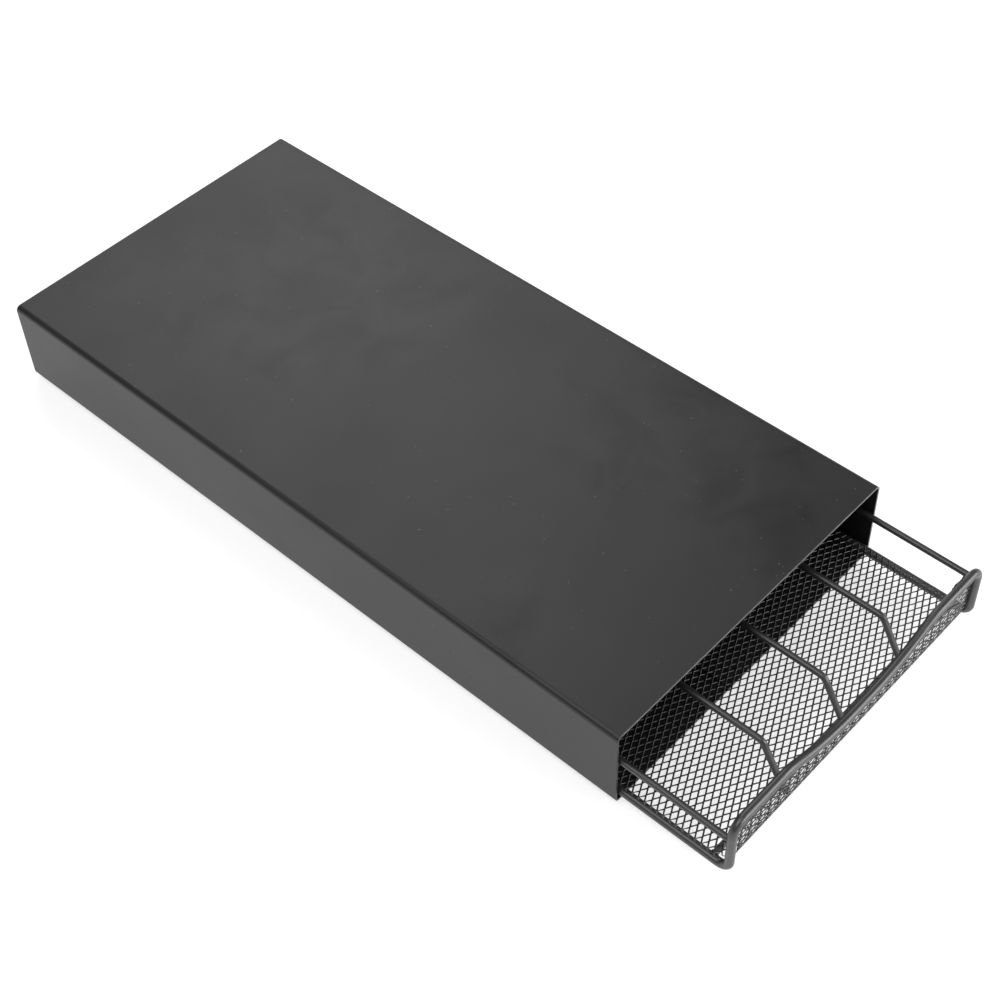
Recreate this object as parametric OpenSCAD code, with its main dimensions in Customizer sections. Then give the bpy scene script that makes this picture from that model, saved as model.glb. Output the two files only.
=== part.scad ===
// Coffee pod drawer: a wire and mesh drawer that slides in a flat sheet-metal housing.
// The drawer faces -Y and is drawn pulled out by drawer_out. Z = 0 is the surface it stands on.

/* [Housing] */
// Width of the sleeve, outside
housing_w = 196; // [170:1:300]
// Length of the sleeve, front edge to rear edge
housing_len = 422; // [300:1:520]
// Height of the sleeve, without its feet
housing_h = 50; // [48:1:80]
// Thickness of the sheet steel
sheet_t = 1; // [0.8:0.1:1.5]
// Outside radius of the four long bends
bend_r = 3; // [2:0.5:5]
// Gap between the two sheet edges that meet under the sleeve
seam_gap = 0.4; // [0.2:0.1:1]
// Width of the strip that joins those edges
seam_strip_w = 30; // [20:1:50]
// How far the seam strip stays back from the front edge and from the back panel
seam_strip_inset = 4; // [2:1:12]
// Depth of the rim that is turned back around the back panel
back_rim = 8; // [5:1:15]
// Clearance between the back panel's rim and the sleeve
back_fit = 0.1; // [0.05:0.05:0.3]

/* [Feet, glides and stops] */
// Diameter of a foot pad
foot_d = 12; // [8:1:20]
// Thickness of a foot pad
foot_t = 2; // [1:0.5:4]
// Bevel around the lower edge of a foot pad
foot_bevel = 0.5; // [0.2:0.1:0.8]
// Distance from the sleeve's sides and ends to a foot pad's centre
foot_inset = 20; // [12:1:40]
// Width of the glide pad under each runner at the mouth
glide_w = 6; // [4:1:10]
// Length of that glide pad
glide_len = 24; // [12:1:40]
// Distance from the front edge to that glide pad
glide_inset = 10; // [4:1:30]
// Running gap between a glide and what slides over it
glide_gap = 0.3; // [0.2:0.05:0.5]
// Length of the clip-on glide along the rear cross wire
rear_glide_w = 10; // [6:1:16]
// Depth of the clip-on glide, front to back
rear_glide_len = 8; // [6:1:12]
// Distance from a runner to the middle of the clip-on glide
rear_glide_inset = 16; // [10:1:30]
// Clearance of the clip-on glide around its wire
clip_gap = 0.1; // [0.05:0.05:0.2]
// How far the clip-on glide reaches up past the middle of its wire
clip_reach = 0.8; // [0.4:0.1:1.4]
// Width of a stop tab
tab_w = 14; // [8:1:24]
// Length of a stop tab's welded flange
tab_flange = 12; // [8:1:20]
// Thickness of a stop tab
tab_t = 1.2; // [1:0.1:2]
// Outside radius of a stop tab's bend
tab_bend_r = 2.2; // [1.8:0.1:3]
// Distance from the front edge to the stop tabs
tab_inset = 70; // [20:1:120]
// How much of the rear wire's height a stop tab catches
tab_catch = 3.7; // [2:0.1:5]

/* [Drawer wires] */
// Diameter of the frame wire: end hoops and runners
frame_d = 4.5; // [3.5:0.1:6]
// Diameter of the side rails, dividers and cross wires
rail_d = 3.3; // [2.5:0.1:4]
// Clearance between the frame wire and the sleeve's side walls
side_gap = 0.9; // [0.5:0.1:2]
// Clearance between a runner and the sleeve's floor
runner_clear = 2.25; // [1.5:0.05:4]
// Clearance between the closed drawer and the back panel
rear_gap = 0.5; // [0.4:0.1:5]
// How far the drawer stands out of the mouth as drawn
drawer_out = 62.45; // [20:0.05:200]
// Height of a side rail above its runner, centre to centre
rail_rise = 24; // [16:0.5:30]
// Height of the dividers above the runners, centre to centre
divider_rise = 25.6; // [16:0.1:30]
// Distance between neighbouring dividers
divider_pitch = 46.1; // [40:0.1:60]
// Angle of a divider's turned-down ends below the horizontal
divider_drop_angle = 60; // [45:1:80]
// Centreline radius of a divider's bends
divider_bend_r = 4; // [3:0.5:8]
// How far a divider's end runs past its weld on the cross wire
divider_tail = 1; // [0:0.5:2]
// Distance from the front hoop to the front cross wire, centre to centre
cross_inset = 9.2; // [8:0.1:20]
// Height of the hoops' shoulders above the runners, centre to centre
shoulder_rise = 33.6; // [30:0.1:40]
// Centreline radius of the hoops' upper corners
corner_r = 7; // [5:0.5:12]
// Centreline radius where the hoops turn into the runners
foot_bend_r = 6; // [4:0.5:8]

/* [Finger dip in the front hoop] */
// Distance from the middle to where the dip starts
dip_half = 60; // [54:1:66]
// Steepest angle of the dip
dip_angle = 20; // [10:1:24]
// Centreline radius at the top of the dip
dip_top_r = 25; // [15:1:40]
// Centreline radius at the bottom of the dip
dip_low_r = 110; // [60:1:112]
// Half the length of the level stretch at the bottom
dip_flat = 6; // [2:1:10]

/* [Expanded mesh] */
// Thickness of the mesh
mesh_t = 0.6; // [0.5:0.1:1]
// Width of one diamond of the mesh, from knot to knot
cell_w = 7; // [5:0.1:10]
// Height of one diamond of the mesh, from knot to knot
cell_h = 3.55; // [2.5:0.05:6]
// Width of one strand
strand_w = 0.65; // [0.5:0.05:1]
// Scale of the floor mesh: diamonds of the real mesh along one drawn diamond
floor_scale = 3; // [2:1:5]
// Scale of the mesh in the two ends
end_scale = 1; // [1:1:3]
// Plain border kept around the mesh
mesh_border = 0.5; // [0.4:0.1:2]
// Area of the smallest opening that is still cut, in square millimetres
least_opening = 1; // [0.5:0.5:3]
// Clearance between the mesh and the wires it is welded to
mesh_fit = 0.05; // [0.05:0.01:0.1]
// Gap between the floor mesh's long edges and the sides of the hoops
mesh_side_gap = 0.2; // [0.1:0.05:0.5]
// Distance from the middle of a hoop's wire to the outer face of the mesh behind it
mesh_setback = 1.3; // [1:0.1:1.6]
// Gap between the end mesh and the wire above it
mesh_gap = 0.15; // [0.1:0.05:0.3]
// Gap between the end mesh and the left leg of its hoop
mesh_gap_left = 6; // [0.5:0.5:10]
// Gap between the end mesh and the right leg of its hoop
mesh_gap_right = 0.6; // [0.5:0.1:10]
// Thickness of the mesh hem that lies over each runner
hem_t = 0.5; // [0.4:0.1:0.8]
// Angle around the runner, from the drawer's inside up and over, where the hem ends
hem_to = 100; // [95:1:150]

/* [Hidden] */
$fn = 48;
LEFT = -1;
RIGHT = 1;

// Housing
mouth_y = (drawer_out - housing_len) / 2;
rear_y = mouth_y + housing_len;
base_z = foot_t;
floor_z = base_z + sheet_t;
ceiling_z = base_z + housing_h - sheet_t;
wall_x = housing_w / 2 - sheet_t;
back_y = rear_y - back_rim;

// Drawer frame
drawer_len = housing_len - back_rim - rear_gap;
front_hoop_y = mouth_y - drawer_out + frame_d / 2;
rear_hoop_y = front_hoop_y + drawer_len - frame_d;
middle_y = (front_hoop_y + rear_hoop_y) / 2;
frame_x = wall_x - side_gap - frame_d / 2;
rail_x = wall_x - side_gap - rail_d / 2;
runner_z = floor_z + runner_clear + frame_d / 2;
rail_z = runner_z + rail_rise;
divider_z = runner_z + divider_rise;
shoulder_z = runner_z + shoulder_rise;
front_cross_y = front_hoop_y + cross_inset;
rear_cross_y = rear_hoop_y - cross_inset;

// A divider's slanted end passes the cross wire at one wire's distance and is welded there
weld_normal = [-sin(divider_drop_angle), cos(divider_drop_angle)];
slant_up = (divider_rise - rail_d * weld_normal.y) / sin(divider_drop_angle);
slant_back = slant_up * cos(divider_drop_angle);
weld_y = front_cross_y + rail_d * weld_normal.x;
divider_corner_y = weld_y + slant_back;
bend_run = divider_bend_r * tan(divider_drop_angle / 2);

// Finger dip: rounded shoulder, straight slope, wide hollow
dip_top_run = dip_top_r * sin(dip_angle);
dip_top_fall = dip_top_r * (1 - cos(dip_angle));
dip_low_run = dip_low_r * sin(dip_angle);
dip_low_fall = dip_low_r * (1 - cos(dip_angle));
dip_slope_run = dip_half - dip_top_run - dip_low_run - dip_flat;
dip_slope_fall = dip_slope_run * tan(dip_angle);
dip_fall = dip_top_fall + dip_slope_fall + dip_low_fall;

// Mesh: the floor's lattice has a diamond at each divider's end, where the wire passes through
mesh_z = runner_z + rail_d / 2 + mesh_fit;
slant_shift = (mesh_z + mesh_t / 2 - runner_z - rail_d * weld_normal.y) / tan(divider_drop_angle);
pierce_front_y = weld_y + slant_shift;
pierce_rear_y = 2 * middle_y - pierce_front_y;
pierce_span = pierce_rear_y - pierce_front_y;
floor_front_y = front_hoop_y + mesh_setback + mesh_t;
floor_rear_y = 2 * middle_y - floor_front_y;
floor_mesh_x = frame_x - frame_d / 2 - mesh_side_gap;
floor_cell_w = divider_pitch / round(divider_pitch / (floor_scale * cell_w));
floor_cell_h = pierce_span / round(pierce_span / (floor_scale * cell_h));
wire_reach = sqrt(pow(frame_d / 2, 2) - pow(mesh_setback, 2));
end_mesh_left = -frame_x + frame_d / 2 + mesh_gap_left;
end_mesh_right = frame_x - frame_d / 2 - mesh_gap_right;
end_cell_w = end_scale * cell_w;
end_cell_h = end_scale * cell_h;
curve_step = 2;

// Hem: a flat lip at the height of the floor mesh, then a curl around the runner
hem_inner_r = frame_d / 2 + mesh_fit;
hem_middle_r = hem_inner_r + hem_t / 2;
hem_rise = mesh_z + mesh_t / 2 - runner_z;
hem_from = asin(min(1, hem_rise / hem_middle_r));
hem_lip_end = frame_x - floor_mesh_x - mesh_fit;

// A straight length runs a little way into the bends at its ends, a hair thinner than they are
lap = 0.2;
lap_thinning = 0.02;

// Colours of the coats and plastics
housing_coat = "#56565a";
wire_coat = "#4b4b4d";
mesh_coat = "#3c3c3e";
plastic = "#2a2a2b";
rubber = "#1e1e1f";

// ---- Wires ----

// A straight round wire between two points
module rod(from, to, d) {
    v = to - from;
    translate(from)
        rotate([0, acos(v.z / norm(v)), atan2(v.y, v.x)])
            cylinder(h = norm(v), d = d);
}

// A straight length between two bends
module straight(from, to, d) {
    along = (to - from) / norm(to - from);
    rod(from - lap * along, to + lap * along, d - lap_thinning);
}

// A bend in the XZ plane; angles run from +X towards +Z
module bend_xz(centre, r, from, sweep, d) {
    translate(centre)
        rotate([90, 0, 0])
            rotate([0, 0, from])
                rotate_extrude(angle = sweep)
                    translate([r, 0])
                        circle(d = d);
}

// A bend in the YZ plane; angles run from +Y towards +Z
module bend_yz(centre, r, from, sweep, d) {
    translate(centre)
        rotate([90, 0, 90])
            rotate([0, 0, from])
                rotate_extrude(angle = sweep)
                    translate([r, 0])
                        circle(d = d);
}

// Shapes drawn for the drawer's front end, at its rear end
module mirror_about_middle() {
    translate([0, middle_y, 0])
        mirror([0, 1, 0])
            translate([0, -middle_y, 0])
                children();
}

// One side of a hoop: bend from the runner, leg and upper corner, at the front end
module hoop_side(side) {
    x = side * frame_x;
    corner_x = side * (frame_x - corner_r);
    bend_yz([x, front_hoop_y + foot_bend_r, runner_z + foot_bend_r], foot_bend_r, 180, 90, frame_d);
    straight([x, front_hoop_y, runner_z + foot_bend_r], [x, front_hoop_y, shoulder_z - corner_r], frame_d);
    bend_xz([corner_x, front_hoop_y, shoulder_z - corner_r], corner_r, side > 0 ? 0 : 90, 90, frame_d);
}

// One side of the dipped top wire, from the corner to the level stretch in the middle
module dip_side(side) {
    y = front_hoop_y;
    low_z = shoulder_z - dip_fall;
    slope_top = [side * (dip_half - dip_top_run), y, shoulder_z - dip_top_fall];
    slope_low = [side * (dip_flat + dip_low_run), y, low_z + dip_low_fall];
    top_from = side > 0 ? 90 : 90 - dip_angle;
    low_from = side > 0 ? 270 : 270 - dip_angle;
    straight([side * (frame_x - corner_r), y, shoulder_z], [side * dip_half, y, shoulder_z], frame_d);
    bend_xz([side * dip_half, y, shoulder_z - dip_top_r], dip_top_r, top_from, dip_angle, frame_d);
    straight(slope_top, slope_low, frame_d);
    bend_xz([side * dip_flat, y, low_z + dip_low_r], dip_low_r, low_from, dip_angle, frame_d);
}

// The front end's wire: two legs, their corners and the dipped top
module front_hoop() {
    low_z = shoulder_z - dip_fall;
    color(wire_coat) {
        for (side = [LEFT, RIGHT]) {
            hoop_side(side);
            dip_side(side);
        }
        straight([-dip_flat, front_hoop_y, low_z], [dip_flat, front_hoop_y, low_z], frame_d);
    }
}

// The rear end's wire, straight across the top
module rear_hoop() {
    color(wire_coat)
        mirror_about_middle() {
            hoop_side(LEFT);
            hoop_side(RIGHT);
            straight([-frame_x + corner_r, front_hoop_y, shoulder_z],
                [frame_x - corner_r, front_hoop_y, shoulder_z], frame_d);
        }
}

// The bottom side wire between the two hoops' lower bends
module runner(side) {
    x = side * frame_x;
    color(wire_coat)
        rod([x, front_hoop_y + foot_bend_r, runner_z], [x, rear_hoop_y - foot_bend_r, runner_z], frame_d);
}

// The top side wire, from the outer face of one hoop to the other
module side_rail(side) {
    x = side * rail_x;
    color(wire_coat)
        rod([x, front_hoop_y + frame_d / 2, rail_z], [x, rear_hoop_y - frame_d / 2, rail_z], rail_d);
}

// A wire from runner to runner under the floor mesh
module cross_wire(y) {
    x = frame_x - frame_d / 2;
    color(wire_coat)
        rod([-x, y, runner_z], [x, y, runner_z], rail_d);
}

// The turned-down front end of a divider
module divider_end(x) {
    down = [0, -cos(divider_drop_angle), -sin(divider_drop_angle)];
    corner = [x, divider_corner_y, divider_z];
    bend_yz(corner + [0, bend_run, -divider_bend_r], divider_bend_r, 90, divider_drop_angle, rail_d);
    straight(corner + bend_run * down, corner + (slant_up + divider_tail) * down, rail_d);
}

// A lengthwise wire between two lanes; place counts the pitches from the middle
module divider(place) {
    x = place * divider_pitch;
    front_y = divider_corner_y + bend_run;
    color(wire_coat) {
        straight([x, front_y, divider_z], [x, 2 * middle_y - front_y, divider_z], rail_d);
        divider_end(x);
        mirror_about_middle()
            divider_end(x);
    }
}

// ---- Expanded mesh ----

// How far the dipped wire lies below the shoulders at x
function dip_at(x) =
    let (a = abs(x), top_end = dip_half - dip_top_run, low_start = dip_flat + dip_low_run)
    a >= dip_half ? 0 :
    a >= top_end ? dip_top_r - sqrt(pow(dip_top_r, 2) - pow(dip_half - a, 2)) :
    a >= low_start ? dip_top_fall + (top_end - a) * tan(dip_angle) :
    a >= dip_flat ? dip_fall - dip_low_r + sqrt(pow(dip_low_r, 2) - pow(a - dip_flat, 2)) :
    dip_fall;

// How far a hoop's rounded corner lies below its shoulder at x
function corner_at(x) =
    let (a = abs(x) - (frame_x - corner_r))
    a <= 0 ? 0 : corner_r - sqrt(pow(corner_r, 2) - pow(min(a, corner_r), 2));

// The part of a convex outline on the side of a line where normal * p <= reach
function keep_below(outline, normal, reach) = [
    for (i = [0 : len(outline) - 1])
        let (a = outline[i], b = outline[(i + 1) % len(outline)])
        let (da = normal * a - reach, db = normal * b - reach)
        each concat(da <= 0 ? [a] : [], da * db < 0 ? [a + (b - a) * da / (da - db)] : [])
];

// The part of an outline inside the rectangle from low to high
function in_window(outline, low, high) =
    let (left = keep_below(outline, [-1, 0], -low.x), right = keep_below(left, [1, 0], high.x))
    let (below = len(right) < 3 ? [] : keep_below(right, [0, -1], -low.y))
    len(below) < 3 ? [] : keep_below(below, [0, 1], high.y);

// The area inside an outline, by the cross products of its neighbouring corners
function area(outline) = len(outline) < 3 ? 0 : abs(sum_of([
    for (i = [0 : len(outline) - 1])
        let (a = outline[i], b = outline[(i + 1) % len(outline)])
        a.x * b.y - b.x * a.y
])) / 2;

function sum_of(values) = values * [for (v = values) 1];

// One diamond opening around a centre, in a lattice of w by h with strands of the given width
function diamond(centre, w, h, strand) =
    let (inset = strand / 2 * norm([w, h]))
    let (a = w / 2 - inset / h, b = h / 2 - inset / w)
    [centre - [a, 0], centre + [0, b], centre + [a, 0], centre - [0, b]];

// All openings of a lattice that starts at origin and fills the window from low to high
function diamonds(origin, w, h, strand, low, high) = [
    for (row = [floor(2 * (low.y - origin.y) / h) : ceil(2 * (high.y - origin.y) / h)])
        for (column = [floor(2 * (low.x - origin.x) / w) : ceil(2 * (high.x - origin.x) / w)])
            if ((row + column) % 2 == 0)
                in_window(diamond(origin + [column * w, row * h] / 2, w, h, strand), low, high)
];

// The outlines that enclose more than a speck
function large_enough(outlines) = [for (o = outlines) if (area(o) > least_opening) o];

// A flat sheet with openings, drawn in XY
module perforated(outline, openings, t) {
    linear_extrude(t)
        difference() {
            polygon(outline);
            for (o = openings)
                polygon(o);
        }
}

// The flat mesh the pods stand on
module floor_mesh() {
    low = [-floor_mesh_x, floor_front_y];
    high = [floor_mesh_x, floor_rear_y];
    border = [mesh_border, mesh_border];
    strand = floor_scale * strand_w;
    all = diamonds([0, pierce_front_y], floor_cell_w, floor_cell_h, strand, low + border, high - border);
    color(mesh_coat)
        translate([0, 0, mesh_z])
            perforated([low, [high.x, low.y], high, [low.x, high.y]], large_enough(all), mesh_t);
}

// The mesh that is turned up behind the front hoop; dipped follows the finger dip
module end_mesh(left, right, dipped) {
    function top_at(x) = shoulder_z - wire_reach - mesh_gap - (dipped ? dip_at(x) : 0) - corner_at(x);
    function slope_at(x) = (top_at(x + curve_step / 2) - top_at(x - curve_step / 2)) / curve_step;
    steps = ceil((right - left) / curve_step);
    top = [for (i = [0 : steps]) let (x = right + (left - right) * i / steps) [x, top_at(x)]];
    low = [left, mesh_z];
    border = [mesh_border, mesh_border];
    window = [right, shoulder_z];
    all = diamonds([0, mesh_z], end_cell_w, end_cell_h, end_scale * strand_w, low + border, window - border);
    trimmed = [
        for (o = large_enough(all))
            let (x = (o[0].x + o[2].x) / 2, normal = [-slope_at(x), 1])
            keep_below(o, normal, normal * [x, top_at(x) - mesh_border])
    ];
    color(mesh_coat)
        translate([0, front_hoop_y + mesh_setback + mesh_t, 0])
            rotate([90, 0, 0])
                perforated(concat([low, [right, mesh_z]], top), large_enough(trimmed), mesh_t);
}

module front_mesh() {
    end_mesh(end_mesh_left, end_mesh_right, true);
}

module rear_mesh() {
    mirror_about_middle()
        end_mesh(end_mesh_left, end_mesh_right, false);
}

// The mesh's long edge, rolled over a runner; drawn for the left side
module mesh_hem(side) {
    length = rear_hoop_y - front_hoop_y - 2 * foot_bend_r;
    color(mesh_coat)
        translate([side * frame_x, front_hoop_y + foot_bend_r, runner_z])
            mirror([side > 0 ? 1 : 0, 0, 0])
                translate([0, length, 0])
                    rotate([90, 0, 0])
                        linear_extrude(length)
                            hem_section();
}

// The hem around the runner's axis, with the drawer's inside towards +X
module hem_section() {
    reach = 2 * frame_d;
    lip_start = hem_middle_r * cos(hem_from);
    difference() {
        circle(r = hem_inner_r + hem_t);
        circle(r = hem_inner_r);
        rotate(hem_from - 180)
            translate([-reach, 0])
                square([2 * reach, reach]);
        rotate(hem_to)
            translate([-reach, 0])
                square([2 * reach, reach]);
    }
    translate([lip_start, hem_rise - hem_t / 2])
        square([hem_lip_end - lip_start, hem_t]);
}

// ---- Housing ----

// A rectangle with round corners around the sleeve's axis
module round_rect(w, h, r) {
    translate([-w / 2 + r, -h / 2])
        square([w - 2 * r, h]);
    translate([-w / 2, -h / 2 + r])
        square([w, h - 2 * r]);
    for (x = [-1, 1], z = [-1, 1])
        translate([x * (w / 2 - r), z * (h / 2 - r)])
            circle(r = r);
}

// Stands a section drawn around the sleeve's axis up and runs it from y to y + length
module along_sleeve(y, length) {
    translate([0, y + length, base_z + housing_h / 2])
        rotate([90, 0, 0])
            linear_extrude(length)
                children();
}

// One sheet bent round, open at both ends, with its seam under the floor
module sleeve() {
    color(housing_coat)
        along_sleeve(mouth_y, housing_len)
            difference() {
                round_rect(housing_w, housing_h, bend_r);
                round_rect(housing_w - 2 * sheet_t, housing_h - 2 * sheet_t, bend_r - sheet_t);
                translate([-seam_gap / 2, -housing_h])
                    square([seam_gap, housing_h]);
            }
}

// The strip inside the sleeve that bridges the seam
module seam_strip() {
    length = back_y - mouth_y - 2 * seam_strip_inset;
    color(housing_coat)
        translate([-seam_strip_w / 2, mouth_y + seam_strip_inset, floor_z])
            cube([seam_strip_w, length, sheet_t]);
}

// A tray with its rim to the rear that closes the sleeve
module back_panel() {
    w = housing_w - 2 * (sheet_t + back_fit);
    h = housing_h - 2 * (sheet_t + back_fit);
    r = bend_r - sheet_t - back_fit;
    color(housing_coat)
        difference() {
            along_sleeve(back_y, back_rim)
                round_rect(w, h, r);
            along_sleeve(back_y + sheet_t, back_rim)
                round_rect(w - 2 * sheet_t, h - 2 * sheet_t, r - sheet_t);
        }
}

// A tab under the top that the rear hoop meets when the drawer is fully out
module stop_tab(side) {
    drop = ceiling_z - (shoulder_z + frame_d / 2 - tab_catch);
    middle_x = side * (rail_x + divider_pitch) / 2;
    color(housing_coat)
        translate([middle_x - tab_w / 2, mouth_y + tab_inset, ceiling_z])
            rotate([90, 0, 90])
                linear_extrude(tab_w)
                    tab_section(drop);
}

// An L with a rounded outer bend: the leg hangs at the front, the flange runs back
module tab_section(drop) {
    difference() {
        translate([0, -drop])
            square([tab_flange, drop]);
        translate([tab_t, -drop - tab_t])
            square([tab_flange, drop]);
        difference() {
            translate([0, -tab_bend_r])
                square(tab_bend_r);
            translate([tab_bend_r, -tab_bend_r])
                circle(r = tab_bend_r);
        }
    }
}

// A low pad with round ends that a runner slides over at the mouth
module front_glide(side) {
    r = glide_w / 2;
    height = runner_clear - glide_gap;
    x = side * (wall_x + sheet_t - bend_r - r);
    color(plastic)
        translate([x, mouth_y + glide_inset, floor_z])
            linear_extrude(height) {
                translate([-r, r])
                    square([glide_w, glide_len - glide_w]);
                translate([0, r])
                    circle(r = r);
                translate([0, glide_len - r])
                    circle(r = r);
            }
}

// A block that is pushed up over the rear cross wire and rides on the sleeve's floor
module rear_glide(side) {
    x = side * (frame_x - rear_glide_inset);
    bottom_z = floor_z + glide_gap;
    grip_z = runner_z + clip_reach;
    color(plastic)
        difference() {
            translate([x - rear_glide_w / 2, rear_cross_y - rear_glide_len / 2, bottom_z])
                cube([rear_glide_w, rear_glide_len, grip_z - bottom_z]);
            rod([x - rear_glide_w, rear_cross_y, runner_z],
                [x + rear_glide_w, rear_cross_y, runner_z], rail_d + 2 * clip_gap);
        }
}

// A round pad with a bevelled lower edge
module foot(side, y) {
    r = foot_d / 2;
    color(rubber)
        translate([side * (housing_w / 2 - foot_inset), y, 0])
            rotate_extrude()
                polygon([[0, 0], [r - foot_bevel, 0], [r, foot_bevel], [r, foot_t], [0, foot_t]]);
}

sleeve();
seam_strip();
back_panel();
stop_tab(LEFT);  // stop_tab_left
stop_tab(RIGHT);  // stop_tab_right
front_glide(LEFT);  // front_glide_left
front_glide(RIGHT);  // front_glide_right
foot(LEFT, mouth_y + foot_inset);  // foot_front_left
foot(RIGHT, mouth_y + foot_inset);  // foot_front_right
foot(LEFT, rear_y - foot_inset);  // foot_rear_left
foot(RIGHT, rear_y - foot_inset);  // foot_rear_right
front_hoop();
rear_hoop();
runner(LEFT);  // runner_left
runner(RIGHT);  // runner_right
side_rail(LEFT);  // side_rail_left
side_rail(RIGHT);  // side_rail_right
divider(-1);  // divider_left
divider(0);  // divider_middle
divider(1);  // divider_right
cross_wire(front_cross_y);  // front_cross_wire
cross_wire((2 * front_cross_y + rear_cross_y) / 3);  // middle_cross_wire_front
cross_wire((front_cross_y + 2 * rear_cross_y) / 3);  // middle_cross_wire_rear
cross_wire(rear_cross_y);  // rear_cross_wire
rear_glide(LEFT);  // rear_glide_left
rear_glide(RIGHT);  // rear_glide_right
floor_mesh();
front_mesh();
rear_mesh();
mesh_hem(LEFT);  // mesh_hem_left
mesh_hem(RIGHT);  // mesh_hem_right
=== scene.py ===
"""Looks of the coffee pod drawer: coats, expanded mesh, welds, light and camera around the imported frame."""

from math import asin, ceil, cos, pi, radians, sin, sqrt, tan

import bmesh
import bpy
from mathutils import Matrix, Quaternion, Vector, noise


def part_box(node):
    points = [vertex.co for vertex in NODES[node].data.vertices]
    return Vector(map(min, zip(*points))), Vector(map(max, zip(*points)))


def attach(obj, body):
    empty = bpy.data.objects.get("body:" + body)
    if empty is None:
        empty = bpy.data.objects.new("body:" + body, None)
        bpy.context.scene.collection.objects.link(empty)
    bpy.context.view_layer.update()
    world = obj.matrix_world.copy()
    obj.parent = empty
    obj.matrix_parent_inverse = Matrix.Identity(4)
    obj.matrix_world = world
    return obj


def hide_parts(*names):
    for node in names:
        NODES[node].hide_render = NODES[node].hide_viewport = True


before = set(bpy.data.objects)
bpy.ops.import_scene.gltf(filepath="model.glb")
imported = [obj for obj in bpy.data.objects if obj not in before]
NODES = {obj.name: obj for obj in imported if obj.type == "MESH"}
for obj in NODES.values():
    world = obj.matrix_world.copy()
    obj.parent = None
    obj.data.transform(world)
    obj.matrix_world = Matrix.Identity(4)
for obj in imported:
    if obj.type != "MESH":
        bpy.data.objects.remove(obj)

MM = 0.001
LEFT, RIGHT = -1, 1

# ---- Sizes that the frame gives ----


def low(node):
    return Vector(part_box(node)[0])


def high(node):
    return Vector(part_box(node)[1])


def centre(node):
    return (low(node) + high(node)) / 2


FRAME_R = (high("runner_left").x - low("runner_left").x) / 2
RAIL_R = (high("front_cross_wire").z - low("front_cross_wire").z) / 2
RUNNER_X = centre("runner_right").x
RUNNER_Z = centre("runner_right").z
RAIL_Z = centre("side_rail_right").z
FRONT_Y = low("front_hoop").y + FRAME_R
REAR_Y = high("rear_hoop").y - FRAME_R
SHOULDER_Z = high("front_hoop").z - FRAME_R
MOUTH_Y = low("sleeve").y
MESH_Z = centre("floor_mesh").z
MESH_FRONT_Y = centre("front_mesh").y
MESH_REAR_Y = centre("rear_mesh").y
MESH_LEFT = low("front_mesh").x
MESH_RIGHT = high("front_mesh").x
DIVIDER_PITCH = centre("divider_right").x

# ---- Expanded mesh ----

CELL_W = 7.09 * MM
CELL_H = 3.553 * MM
LATTICE_X, LATTICE_ALONG = -0.9 * MM, -0.95 * MM  # one knot's place
STRAND_T = 0.34 * MM
KNOT_A = 0.70 * MM  # half length of a knot, along the diamond's long way
KNOT_FLAT = 0.14 * MM  # half length of a knot's two long sides
KNOT_B = 0.41 * MM  # half width of a knot
STRAND_TILT = 0.34 * MM  # how far a knot's two sides stand out of the sheet
WALL_TILT = 0.05 * MM  # and how far in the flatter part of the end walls
WALL_FLAT_UP, WALL_FLAT_X = 11 * MM, 62 * MM  # the front wall is that flat above this height, left of this x
WALL_SLIM = 0.72  # size of the end walls' strands and knots against the floor's
SHEET_MARGIN = 4 * MM  # how far the rows of knots are counted past the runners, for the rolled edges
END_GAP = 0.2 * MM  # from the sheet to the runners, near the ends, where it isn't rolled over them
FOLD_R = 1.0 * MM
FLOOR_LEN = MESH_REAR_Y - MESH_FRONT_Y - 2 * FOLD_R  # of the sheet, between its two folds

# ---- The sheet's rolled edges; angles are around the wire ----

HEM_R = FRAME_R + 0.32 * MM
HEM_FROM, HEM_TO = asin((MESH_Z - RUNNER_Z) / HEM_R), radians(98)
HEM_TAPER = 5 * MM  # height over which the front wall widens to its rolled edge
WALL_FROM = asin((MESH_FRONT_Y - FRONT_Y) / HEM_R)  # where the front wall meets the hoop's wire
LEG_TO, LEG_TO_AT_RAIL = radians(80), radians(57)
RAIL_GAP = 0.8 * MM  # above and below the rail, where the edge is rolled less far
TOP_TO = radians(122)
TOP_HEM_X = (71 * MM, 87 * MM)

# ---- The wires' shapes ----

DIP_HALF, DIP_ANGLE = 60 * MM, radians(20)
DIP_TOP_R, DIP_LOW_R, DIP_FLAT = 25 * MM, 110 * MM, 6 * MM
CORNER_R = 7 * MM
BEND_R = 6 * MM
DIVIDER_DROP = radians(60)
CROSS_WIRES = ("front_cross_wire", "middle_cross_wire_front", "middle_cross_wire_rear", "rear_cross_wire")

# ---- Welds ----

WELD_LAP = 0.45 * MM  # how far a weld bead stands out around the thin wire that ends in it
WELD_UNEVEN = 0.14
WELD_LUMPS = 2  # lumps across a bead
FOOT_BEAD = (0.7, 0.6)  # depth and height of the beads at the dividers' feet, against the others' radius

# ---- Tones; a pair is a coat's darkest and lightest ----

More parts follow.
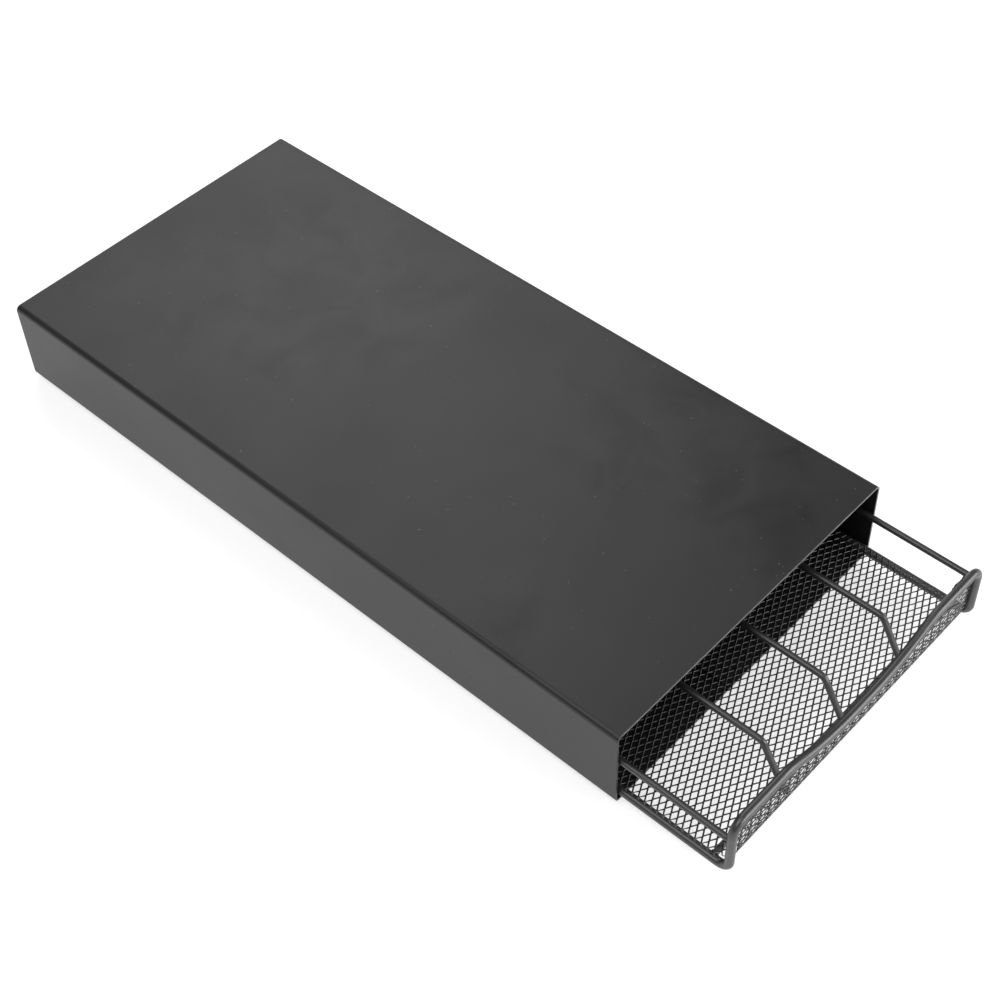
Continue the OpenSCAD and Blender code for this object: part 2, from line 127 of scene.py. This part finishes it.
HOUSING_TONES = (0.013, 0.013, 0.0135), (0.018, 0.018, 0.0185)
WIPED_TONE = (0.005, 0.005, 0.0052)
SPECK_TONE = (0.09, 0.09, 0.09)
# painted highlight: the light that the mouth's front edge catches, given as a colour
MOUTH_HIGHLIGHT_TONE = (0.13, 0.13, 0.13)
MOUTH_HIGHLIGHT_DEPTHS = (0.05 * MM, 0.35 * MM)  # the painted highlight on the mouth's front edge fades out between these two depths
MOUTH_HIGHLIGHT_FADE, MOUTH_HIGHLIGHT_LEFT = 4 * MM, 0.2  # and to this share over this width, on the left wall, where less of the highlight is painted
WIRE_TONES = (0.009, 0.009, 0.0094), (0.013, 0.013, 0.0135)
# painted shade: the wires' coat, made darker for the shade that the mesh's strands cast on each other
MESH_SHADED_TONES = (0.003, 0.003, 0.0032), (0.006, 0.006, 0.0063)
RUBBER_TONES = (0.010, 0.010, 0.010), (0.022, 0.022, 0.021)
GLIDE_TONES = (0.018, 0.018, 0.019), (0.030, 0.030, 0.031)
NOISE_SPAN = (0.3, 0.7)  # a noise texture stays mostly between these
CLOUD_SPAN = (0.32, 0.68)

# ---- Studio ----

FLOOR_HALF = 40.0
FLOOR_TONE = 0.62
NEAR_GLOW, GLOW_REACH = 0.62, (0.6, 1.4)  # the floor's own light near the object, and where it rises to 1
STUDIO_LOW, STUDIO_HIGH = (0.12, 0.12, 0.12), (0.30, 0.30, 0.30)
STUDIO_RISE = (0.35, 0.8)  # sines of the heights between which the studio turns paler
WHITE_BAND = (0.05, 0.2)  # and between which the white behind the floor ends in mirrored rays

# ---- Camera ----

CAMERA_TARGET = Vector((-16.67, -36.255, 32.0)) * MM
CAMERA_AZIMUTH, CAMERA_ELEVATION, CAMERA_ROLL = radians(-45.64), radians(48.211), radians(-2.485)
CAMERA_DISTANCE = 896.69 * MM
LENS, SENSOR = 65.05, 36.0
CLIP = (0.01, 100)


def dip_at(x):
    """How far the dipped wire lies below the shoulders at x."""
    a = abs(x)
    top_end = DIP_HALF - DIP_TOP_R * sin(DIP_ANGLE)
    low_start = DIP_FLAT + DIP_LOW_R * sin(DIP_ANGLE)
    top_fall = DIP_TOP_R * (1 - cos(DIP_ANGLE))
    slope_fall = (top_end - low_start) * tan(DIP_ANGLE)
    whole = top_fall + slope_fall + DIP_LOW_R * (1 - cos(DIP_ANGLE))
    if a >= DIP_HALF:
        return 0
    if a >= top_end:
        return DIP_TOP_R - sqrt(DIP_TOP_R**2 - (DIP_HALF - a) ** 2)
    if a >= low_start:
        return top_fall + (top_end - a) * tan(DIP_ANGLE)
    if a >= DIP_FLAT:
        return whole - DIP_LOW_R + sqrt(DIP_LOW_R**2 - (a - DIP_FLAT) ** 2)
    return whole


def corner_at(x):
    """How far a hoop's rounded corner lies below its shoulder at x."""
    a = abs(x) - (RUNNER_X - CORNER_R)
    return 0 if a <= 0 else CORNER_R - sqrt(CORNER_R**2 - min(a, CORNER_R) ** 2)


# ---- Materials ----


def new_material(name):
    material = bpy.data.materials.new(name)
    material.use_nodes = True
    tree = material.node_tree
    return material, tree, tree.nodes["Principled BSDF"]


def noise_node(tree, scale, detail=2.0, distortion=0.0):
    """A noise texture in the piece's own coordinates, in metres."""
    coordinates = tree.nodes.new("ShaderNodeTexCoord")
    texture = tree.nodes.new("ShaderNodeTexNoise")
    texture.inputs["Scale"].default_value = scale
    texture.inputs["Detail"].default_value = detail
    texture.inputs["Distortion"].default_value = distortion
    tree.links.new(coordinates.outputs["Object"], texture.inputs["Vector"])
    return texture.outputs["Fac"]


def ranged(tree, value, low_in, high_in, low_out, high_out):
    """The value, stretched from one span to the other and held inside it."""
    node = tree.nodes.new("ShaderNodeMapRange")
    tree.links.new(value, node.inputs["Value"])
    numbers = {"From Min": low_in, "From Max": high_in, "To Min": low_out, "To Max": high_out}
    for socket, number in numbers.items():
        node.inputs[socket].default_value = number
    return node.outputs["Result"]


def mixed(tree, factor, dark, light):
    """A colour between two, each given as a tuple or as another node's output."""
    node = tree.nodes.new("ShaderNodeMix")
    node.data_type = "RGBA"
    tree.links.new(factor, node.inputs["Factor"])
    for socket, colour in ((node.inputs[6], dark), (node.inputs[7], light)):
        if isinstance(colour, tuple):
            socket.default_value = (*colour, 1)
        else:
            tree.links.new(colour, socket)
    return node.outputs[2]


def joined(tree, operation, first, second):
    """Two values added or multiplied, and held between 0 and 1."""
    node = tree.nodes.new("ShaderNodeMath")
    node.operation = operation
    node.use_clamp = True
    tree.links.new(first, node.inputs[0])
    tree.links.new(second, node.inputs[1])
    return node.outputs[0]


def bumped(tree, height, distance, strength, below=None):
    node = tree.nodes.new("ShaderNodeBump")
    node.inputs["Distance"].default_value = distance
    node.inputs["Strength"].default_value = strength
    tree.links.new(height, node.inputs["Height"])
    if below:
        tree.links.new(below, node.inputs["Normal"])
    return node.outputs["Normal"]


def powder_coat(name, tones, roughness, cloud_scale, grain_scale, specular):
    """Baked powder coat: slow clouds in tone and gloss, and a fine orange peel."""
    material, tree, shader = new_material(name)
    clouds = noise_node(tree, cloud_scale, 4)
    tone = mixed(tree, ranged(tree, clouds, *NOISE_SPAN, 0, 1), *tones)
    peel = bumped(tree, noise_node(tree, grain_scale, 3), 0.03 * MM, 0.6)
    tree.links.new(tone, shader.inputs["Base Color"])
    tree.links.new(ranged(tree, clouds, *NOISE_SPAN, *roughness), shader.inputs["Roughness"])
    tree.links.new(peel, shader.inputs["Normal"])
    shader.inputs["Specular IOR Level"].default_value = specular
    return material


def painted_mouth_highlight(tree):
    """Painted highlight: 1 along the sheet's front edge, where it catches the light, and less on its left
    wall.
    """
    coordinates = tree.nodes.new("ShaderNodeTexCoord")
    position = tree.nodes.new("ShaderNodeSeparateXYZ")
    tree.links.new(coordinates.outputs["Object"], position.inputs["Vector"])
    near, far = (MOUTH_Y + depth for depth in MOUTH_HIGHLIGHT_DEPTHS)
    edge = ranged(tree, position.outputs["Y"], near, far, 1, 0)
    lit = ranged(tree, position.outputs["X"], -RUNNER_X - MOUTH_HIGHLIGHT_FADE, -RUNNER_X, MOUTH_HIGHLIGHT_LEFT, 1)
    return joined(tree, "MULTIPLY", edge, lit)


def housing_material():
    """Satin coat with wiped smudges and dust specks, a painted highlight along the mouth's front edge, a
    shallow wave and an orange peel.
    """
    material, tree, shader = new_material("housing_satin")
    clouds = noise_node(tree, 9, 4)
    tone = mixed(tree, ranged(tree, clouds, *CLOUD_SPAN, 0, 1), *HOUSING_TONES)
    handled = ranged(tree, noise_node(tree, 8, 2), 0.47, 0.62, 0, 1)
    wiped = ranged(tree, noise_node(tree, 34, 6, distortion=0.5), 0.40, 0.68, 0, 1)
    tone = mixed(tree, joined(tree, "MULTIPLY", handled, wiped), tone, WIPED_TONE)
    specks = ranged(tree, noise_node(tree, 700, 0), 0.865, 0.895, 0, 1)
    tone = mixed(tree, specks, tone, SPECK_TONE)
    # a highlight painted along the mouth's front edge
    tone = mixed(tree, painted_mouth_highlight(tree), tone, MOUTH_HIGHLIGHT_TONE)
    peel = bumped(tree, noise_node(tree, 900, 3), 0.04 * MM, 0.5)
    wave = bumped(tree, noise_node(tree, 25, 2), 0.25 * MM, 0.3, below=peel)
    tree.links.new(tone, shader.inputs["Base Color"])
    tree.links.new(ranged(tree, clouds, *CLOUD_SPAN, 0.42, 0.37), shader.inputs["Roughness"])
    tree.links.new(wave, shader.inputs["Normal"])
    shader.inputs["Specular IOR Level"].default_value = 0.46
    return material


def moulded(name, tones, roughness, grain_scale, detail, depth, strength):
    """Rubber or plastic with the grain of its mould."""
    material, tree, shader = new_material(name)
    grain = noise_node(tree, grain_scale, detail)
    tree.links.new(mixed(tree, grain, *tones), shader.inputs["Base Color"])
    tree.links.new(ranged(tree, grain, *NOISE_SPAN, *roughness), shader.inputs["Roughness"])
    tree.links.new(bumped(tree, grain, depth, strength), shader.inputs["Normal"])
    return material


def dress(material, *names):
    for name in names:
        for place in NODES[name].material_slots:
            place.material = material


# ---- Pieces ----


def new_piece(name, vertices, faces, material):
    mesh = bpy.data.meshes.new(name)
    mesh.from_pydata(vertices, [], faces)
    mesh.materials.append(material)
    piece = bpy.data.objects.new(name, mesh)
    bpy.context.scene.collection.objects.link(piece)
    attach(piece, "drawer")
    return piece


def sheet_point(x, along, lift):
    """Where the folded sheet has the point that lies at x and this far behind the front fold."""
    side, past = (-1, -along) if along < FLOOR_LEN / 2 else (1, along - FLOOR_LEN)
    middle_y = (MESH_FRONT_Y + MESH_REAR_Y) / 2
    fold_y = FLOOR_LEN / 2
    if past <= 0:
        return hem_point(x, middle_y + side * (fold_y + past), lift)
    turn = min(past / FOLD_R, pi / 2)
    up = past - turn * FOLD_R
    out = fold_y + (FOLD_R - lift) * sin(turn)
    point = Vector((x, middle_y + side * out, MESH_Z + FOLD_R - (FOLD_R - lift) * cos(turn) + up))
    return wrapped(point, lift) if side < 0 and up > 0 else point


def wrapped(point, lift):
    """A point of the front wall, or of its edge where that is rolled behind the hoop's wire."""
    r = HEM_R + lift
    past_x = point.x - RUNNER_X + HEM_R * cos(WALL_FROM)
    past_z = point.z - SHOULDER_Z + HEM_R * cos(WALL_FROM)
    if past_x > 0:
        angle = WALL_FROM + past_x / HEM_R
        return Vector((RUNNER_X - r * cos(angle), FRONT_Y + r * sin(angle), point.z))
    if past_z > 0:
        angle = WALL_FROM + past_z / HEM_R
        return Vector((point.x, FRONT_Y + r * sin(angle), SHOULDER_Z - r * cos(angle)))
    return point


def hem_point(x, y, lift):
    """The floor of the sheet, whose long edges roll over the runners."""
    side = LEFT if x < 0 else RIGHT
    flat_end = RUNNER_X - HEM_R * cos(HEM_FROM)
    past = abs(x) - flat_end
    if past <= 0:
        return Vector((x, y, MESH_Z + lift))
    angle = HEM_FROM + past / HEM_R
    r = HEM_R + lift
    return Vector((side * (RUNNER_X - r * cos(angle)), y, RUNNER_Z + r * sin(angle)))


def knot_at(i, j):
    return LATTICE_X + i * CELL_W / 2, LATTICE_ALONG + j * CELL_H / 2


def lattice(name, inside, trim, rows, tilt, slim, material):
    """Expanded sheet: knots in staggered rows, each joined to its four neighbours by tilted strands."""
    half_columns = ceil(2 * (RUNNER_X + SHEET_MARGIN) / CELL_W)
    kept = {
        (i, j)
        for j in range(*rows)
        for i in range(-half_columns, half_columns + 1)
        if (i + j) % 2 == 0 and inside(*knot_at(i, j))
    }
    steps = ((1, 1), (-1, 1), (-1, -1), (1, -1))
    rim = {(i + a, j + b) for i, j in kept for a, b in steps} - kept
    half, flat, wide = KNOT_A * slim, KNOT_FLAT * slim, KNOT_B * slim
    shape = (
        (half, 0, 0), (flat, wide, -1), (-flat, wide, -1), (-half, 0, 0), (-flat, -wide, 1), (flat, -wide, 1),
    )
    sides = ((0, 1), (2, 3), (3, 4), (5, 0))  # the two corners that each strand starts from
    under = len(shape)
    vertices, first = [], {}
    for i, j in sorted(kept | rim):
        first[i, j] = len(vertices)
        x0, along0 = knot_at(i, j)
        out = tilt(x0, along0)
        across = Vector((out, wide)).normalized() * STRAND_T * slim
        for below in (0, 1):
            for dx, dy, side in shape:
                x, along = trim(x0 + dx, along0 + dy + (0.5 - below) * across.x)
                vertices.append(sheet_point(x, along, side * out + (0.5 - below) * across.y))
    faces = []
    for i, j in sorted(kept | rim):
        a = first[i, j]
        faces.append(tuple(a + k for k in range(under)))
        faces.append(tuple(a + under + k for k in reversed(range(under))))
        for p, q in ((a + 1, a + 2), (a + 4, a + 5)):
            faces.append((q, p, p + under, q + under))
        for k, (di, dj) in enumerate(steps):
            other = (i + di, j + dj)
            p, q = a + sides[k][0], a + sides[k][1]
            linked = other in first and ((i, j) in kept or other in kept)
            if not linked:
                faces.append((q, p, p + under, q + under))
            elif dj > 0:
                b = first[other]
                opposite = sides[(k + 2) % 4]
                r, s = b + opposite[1], b + opposite[0]
                faces.append((q, p, r, s))
                faces.append((p + under, q + under, s + under, r + under))
                faces.append((p, p + under, r + under, r))
                faces.append((q + under, q, s, s + under))
    return new_piece(name, vertices, faces, material)


def add_mesh(material):
    hem_x = RUNNER_X - HEM_R * cos(HEM_FROM) + HEM_R * (HEM_TO - HEM_FROM)
    fold_len = FOLD_R * pi / 2
    hem_y = low("runner_left").y - MESH_FRONT_Y - FOLD_R
    last = ceil(2 * FLOOR_LEN / CELL_H)
    wall = ceil(2 * SHOULDER_Z / CELL_H)
    reach = sqrt(FRAME_R**2 - (MESH_FRONT_Y - FRONT_Y) ** 2)

    def floor_side(along):
        near_end = min(along, FLOOR_LEN - along) < hem_y
        return RUNNER_X - FRAME_R - END_GAP if near_end else hem_x

    def floor_inside(x, along):
        return abs(x) < floor_side(along)

    def floor_trim(x, along):
        limit = floor_side(along)
        return max(-limit, min(limit, x)), along

    def top_at(x, dipped):
        return SHOULDER_Z - reach - corner_at(x) - (dip_at(x) if dipped else 0)

    def end_limit(x, dipped):
        return top_at(x, dipped) - MESH_Z - FOLD_R + fold_len

    def front_top(x):
        hemmed = TOP_HEM_X[0] < x < TOP_HEM_X[1]
        return end_limit(x, True) + (HEM_R * (TOP_TO - WALL_FROM) if hemmed else 0)

    def height(along):
        return MESH_Z + FOLD_R - along - fold_len

    def hem_share(along):
        """How much of the wall's rolled side there is at this height, from 0 to 1."""
        z = height(along)
        into = min(z - RUNNER_Z - BEND_R, SHOULDER_Z - CORNER_R - z)
        return max(0, min(1, into / HEM_TAPER))

    def front_right(along):
        at_rail = abs(height(along) - RAIL_Z) < RAIL_R + RAIL_GAP
        turn = (LEG_TO_AT_RAIL if at_rail else LEG_TO) - WALL_FROM
        rolled = RUNNER_X - HEM_R * cos(WALL_FROM) + HEM_R * turn
        return MESH_RIGHT + (rolled - MESH_RIGHT) * hem_share(along)

    def front_left(along):
        return MESH_LEFT + (reach - RUNNER_X - MESH_LEFT) * hem_share(along)

    def front_inside(x, along):
        return front_left(along) < x < front_right(along) and -along < front_top(min(x, MESH_RIGHT))

    def front_trim(x, along):
        x = max(front_left(along), min(front_right(along), x))
        return x, max(along, -front_top(max(MESH_LEFT, min(x, MESH_RIGHT))))

    def rear_inside(x, along):
        return MESH_LEFT < x < MESH_RIGHT and along - FLOOR_LEN < end_limit(x, False)

    def rear_trim(x, along):
        x = max(MESH_LEFT, min(MESH_RIGHT, x))
        return x, min(along, FLOOR_LEN + end_limit(x, False))

    def front_tilt(x, along):
        steep = max(1 + along / WALL_FLAT_UP, (x - WALL_FLAT_X) / (MESH_RIGHT - WALL_FLAT_X), 0)
        return WALL_TILT + (STRAND_TILT - WALL_TILT) * min(1, steep)

    def floor_tilt(x, along):
        return STRAND_TILT

    def rear_tilt(x, along):
        return WALL_TILT

    rows = (0, last)
    floor = lattice("floor_mesh_fine", floor_inside, floor_trim, rows, floor_tilt, 1, material)
    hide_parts("floor_mesh", "mesh_hem_left", "mesh_hem_right")
    rows = (-wall, 0)
    front = lattice("front_mesh_fine", front_inside, front_trim, rows, front_tilt, WALL_SLIM, material)
    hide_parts("front_mesh")
    rows = (last, last + wall)
    rear = lattice("rear_mesh_fine", rear_inside, rear_trim, rows, rear_tilt, WALL_SLIM, material)
    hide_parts("rear_mesh")


def add_welds(material):
    """Uneven beads where the thin wires end on the thick ones and where dividers and cross wires meet."""
    r = RAIL_R + WELD_LAP
    beads = []
    for side in (LEFT, RIGHT):
        for y in (FRONT_Y + FRAME_R, REAR_Y - FRAME_R):
            beads.append((Vector((side * RUNNER_X, y, RAIL_Z)), Vector((r, r / 2, r))))
        for wire in CROSS_WIRES:
            place = Vector((side * (RUNNER_X - FRAME_R), centre(wire).y, RUNNER_Z))
            beads.append((place, Vector((r / 2, r, r))))
    for x in (-DIVIDER_PITCH, 0, DIVIDER_PITCH):
        for wire, out in ((CROSS_WIRES[0], -1), (CROSS_WIRES[-1], 1)):
            place = centre(wire) + RAIL_R * Vector((0, out * sin(DIVIDER_DROP), cos(DIVIDER_DROP)))
            depth, rise = (r * share for share in FOOT_BEAD)
            beads.append((Vector((x, place.y, place.z)), Vector((r + WELD_LAP, depth, rise))))
    ball = bmesh.new()
    bmesh.ops.create_icosphere(ball, subdivisions=3, radius=1)
    directions = [vertex.co.copy() for vertex in ball.verts]
    triangles = [tuple(vertex.index for vertex in face.verts) for face in ball.faces]
    ball.free()
    vertices, faces = [], []
    for number, (place, radii) in enumerate(beads):
        first = len(vertices)
        for direction in directions:
            swell = 1 - WELD_UNEVEN * abs(noise.noise(direction * WELD_LUMPS + Vector((number, 0, 0))))
            vertices.append(place + Vector(a * b for a, b in zip(radii, direction)) * swell)
        faces += [tuple(first + k for k in triangle) for triangle in triangles]
    piece = new_piece("weld_beads", vertices, faces, material)
    piece.data.polygons.foreach_set("use_smooth", [True] * len(faces))


# ---- Scene ----


def add_softbox(name, direction, distance, size, power):
    """A soft lamp that looks at the origin from this direction."""
    lamp = bpy.data.lights.new(name, "AREA")
    lamp.shape = "RECTANGLE"
    lamp.size, lamp.size_y = size
    lamp.energy = power
    box = bpy.data.objects.new(name, lamp)
    out = Vector(direction).normalized()
    box.matrix_world = Matrix.Translation(out * distance) @ out.to_track_quat("Z", "Y").to_matrix().to_4x4()
    bpy.context.scene.collection.objects.link(box)


def seen_rays(tree, share=None):
    """1 for the rays that show a background, straight or mirrored; share scales the mirrored ones."""
    path = tree.nodes.new("ShaderNodeLightPath")
    mirrored = joined(tree, "ADD", path.outputs["Is Glossy Ray"], path.outputs["Is Transmission Ray"])
    if share:
        mirrored = joined(tree, "MULTIPLY", mirrored, share)
    return joined(tree, "ADD", path.outputs["Is Camera Ray"], mirrored)


def add_floor():
    """A pale floor that goes white where it is lit and keeps the object's shadow."""
    h = FLOOR_HALF
    mesh = bpy.data.meshes.new("studio_floor")
    mesh.from_pydata([(-h, -h, 0), (h, -h, 0), (h, h, 0), (-h, h, 0)], [], [(0, 1, 2, 3)])
    material = bpy.data.materials.new("studio_floor")
    material.use_nodes = True
    tree = material.node_tree
    tree.nodes.clear()
    output = tree.nodes.new("ShaderNodeOutputMaterial")
    diffuse = tree.nodes.new("ShaderNodeBsdfDiffuse")
    diffuse.inputs["Color"].default_value = (FLOOR_TONE, FLOOR_TONE, FLOOR_TONE, 1)
    coordinates = tree.nodes.new("ShaderNodeTexCoord")
    reach = tree.nodes.new("ShaderNodeVectorMath")
    reach.operation = "LENGTH"
    tree.links.new(coordinates.outputs["Object"], reach.inputs[0])
    strength = ranged(tree, reach.outputs["Value"], *GLOW_REACH, NEAR_GLOW, 1)
    glow = tree.nodes.new("ShaderNodeEmission")
    tree.links.new(joined(tree, "MULTIPLY", seen_rays(tree), strength), glow.inputs["Strength"])
    both = tree.nodes.new("ShaderNodeAddShader")
    tree.links.new(diffuse.outputs[0], both.inputs[0])
    tree.links.new(glow.outputs[0], both.inputs[1])
    tree.links.new(both.outputs[0], output.inputs["Surface"])
    mesh.materials.append(material)
    floor = bpy.data.objects.new("studio_floor", mesh)
    bpy.context.scene.collection.objects.link(floor)


def add_world():
    """A plain studio: pale overhead, dimmer lower down, and white behind the floor's far end."""
    world = bpy.data.worlds.new("studio")
    bpy.context.scene.world = world
    world.use_nodes = True
    tree = world.node_tree
    background = tree.nodes["Background"]
    coordinates = tree.nodes.new("ShaderNodeTexCoord")
    position = tree.nodes.new("ShaderNodeSeparateXYZ")
    tree.links.new(coordinates.outputs["Generated"], position.inputs["Vector"])
    height = ranged(tree, position.outputs["Z"], *STUDIO_RISE, 0, 1)
    studio = mixed(tree, height, STUDIO_LOW, STUDIO_HIGH)
    white = seen_rays(tree, ranged(tree, position.outputs["Z"], *WHITE_BAND, 1, 0))
    tree.links.new(mixed(tree, white, studio, (1, 1, 1)), background.inputs["Color"])


def add_camera():
    a, e = CAMERA_AZIMUTH, CAMERA_ELEVATION
    back = Vector((sin(a) * cos(e), -cos(a) * cos(e), sin(e)))
    data = bpy.data.cameras.new("camera")
    data.lens, data.sensor_width = LENS, SENSOR
    data.clip_start, data.clip_end = CLIP
    camera = bpy.data.objects.new("camera", data)
    camera.matrix_world = (
        Matrix.Translation(CAMERA_TARGET + back * CAMERA_DISTANCE)
        @ (back.to_track_quat("Z", "Y") @ Quaternion((0, 0, 1), CAMERA_ROLL)).to_matrix().to_4x4()
    )
    bpy.context.scene.collection.objects.link(camera)
    bpy.context.scene.camera = camera


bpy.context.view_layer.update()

housing_coat = housing_material()
wire_coat = powder_coat(
    "wire_satin", WIRE_TONES, roughness=(0.36, 0.43), cloud_scale=60, grain_scale=1200, specular=1.0
)
# the mesh's tones are darker than the wires' only as painted shade, where the strands shade each other
mesh_coat = powder_coat(
    "mesh_satin", MESH_SHADED_TONES, roughness=(0.36, 0.44), cloud_scale=90, grain_scale=2500, specular=0.9
)
glide_plastic = moulded(
    "glide_acetal", GLIDE_TONES, (0.42, 0.55), grain_scale=1600, detail=2, depth=0.02 * MM, strength=0.4
)
foot_rubber = moulded(
    "foot_rubber_black", RUBBER_TONES, (0.75, 0.9), grain_scale=2500, detail=3, depth=0.05 * MM, strength=0.6
)
dress(housing_coat, "sleeve", "seam_strip", "back_panel", "stop_tab_left", "stop_tab_right")
dress(glide_plastic, "front_glide_left", "front_glide_right", "rear_glide_left", "rear_glide_right")
dress(foot_rubber, "foot_front_left", "foot_front_right", "foot_rear_left", "foot_rear_right")
dress(wire_coat, "front_hoop", "rear_hoop", "runner_left", "runner_right", *CROSS_WIRES)
dress(wire_coat, "side_rail_left", "side_rail_right", "divider_left", "divider_middle", "divider_right")
add_mesh(mesh_coat)
add_welds(wire_coat)

add_floor()
add_world()
add_softbox("back_right", (0.42, 0.575, 0.70), distance=2.0, size=(1.07, 1.46), power=9.4)
add_softbox("overhead_left", (-0.45, -0.05, 0.87), distance=1.6, size=(1.3, 1.1), power=11.5)
add_softbox("front_right", (0.42, -0.86, 0.32), distance=1.6, size=(1.8, 0.9), power=26)
add_camera()
bpy.context.scene.view_settings.view_transform = "Standard"
